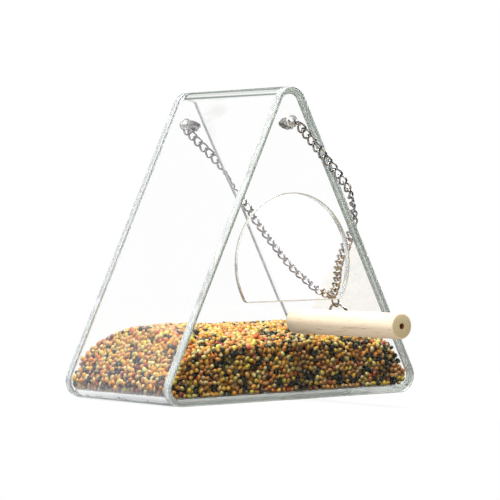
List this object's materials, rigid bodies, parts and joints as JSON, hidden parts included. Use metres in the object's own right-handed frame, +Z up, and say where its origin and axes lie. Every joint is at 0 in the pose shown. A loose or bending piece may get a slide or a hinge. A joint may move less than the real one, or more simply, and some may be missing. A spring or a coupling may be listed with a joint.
{
  "type": "bird feeder",
  "caption": "Clear triangular bird feeder with a round feeding opening over a sill, a wooden perch dowel, a seed heap and a clasped curb chain for hanging.",
  "frame": {"origin": "centre of the flat underside, between the two end panels", "axes": "+Z up; +Y along the prism towards the closed back panel, so the panel with the feeding opening and the perch faces -Y; +X towards the side wall that the chain is laid over"},
  "size_m": [0.1284, 0.1502, 0.13],
  "materials": {
    "clear_acrylic": "clear, polished",
    "perch_wood": "bare, lightly sanded",
    "screw_zinc": "zinc plated",
    "seed_mix": "dry husk",
    "chain_steel": "polished nickel plate"
  },
  "bodies": {
    "housing": {"body_wrap": "clear_acrylic", "front_panel": "clear_acrylic", "back_panel": "clear_acrylic", "perch_dowel": "perch_wood", "perch_screw": "screw_zinc", "seed_fill": "seed_mix"},
    "chain_arms": {"front_clasp_body": "chain_steel", "front_clasp_rivet": "chain_steel", "front_end_link": "chain_steel", "front_chain_arm": "chain_steel", "back_clasp_body": "chain_steel", "back_clasp_rivet": "chain_steel", "back_end_link": "chain_steel", "back_chain_arm": "chain_steel"},
    "chain_legs": {"front_chain_leg": "chain_steel", "back_chain_leg": "chain_steel", "low_link": "chain_steel", "connector_link": "chain_steel"},
    "hanging_ring": {"hanging_ring": "chain_steel"},
    "front_lever": {"front_clasp_lever": "chain_steel"},
    "back_lever": {"back_clasp_lever": "chain_steel"}
  },
  "joints": [
    {"name": "chain_swing", "type": "hinge", "parent": "housing", "child": "chain_arms", "pos_m": [0, 0, 0.1154], "axis": [0, -1, 0], "range_deg": [0, 255]},
    {"name": "chain_bend", "type": "hinge", "parent": "chain_arms", "child": "chain_legs", "pos_m": [0.02349, 0, 0.09359], "axis": [-0.0206, -0.9995, -0.0222], "range_deg": [0, 36]},
    {"name": "ring_swing", "type": "hinge", "parent": "chain_legs", "child": "hanging_ring", "pos_m": [0.05247, -0.0005, 0.03789], "axis": [0, -1, 0], "range_deg": [0, 90]},
    {"name": "front_lever_press", "type": "hinge", "parent": "chain_arms", "child": "front_lever", "pos_m": [0.00154, -0.0333, 0.11385], "axis": [0.708, 0, 0.7062], "range_deg": [0, 22], "stiffness_Nm_per_rad": 0.004, "springref_deg": -5.73},
    {"name": "back_lever_press", "type": "hinge", "parent": "chain_arms", "child": "back_lever", "pos_m": [0.00166, 0.0333, 0.11398], "axis": [-0.6518, 0, -0.7584], "range_deg": [0, 22], "stiffness_Nm_per_rad": 0.004, "springref_deg": -5.73}
  ],
  "couplings": [
    {"joint": "chain_bend", "follows": "chain_swing", "ratio": 0.14}
  ]
}
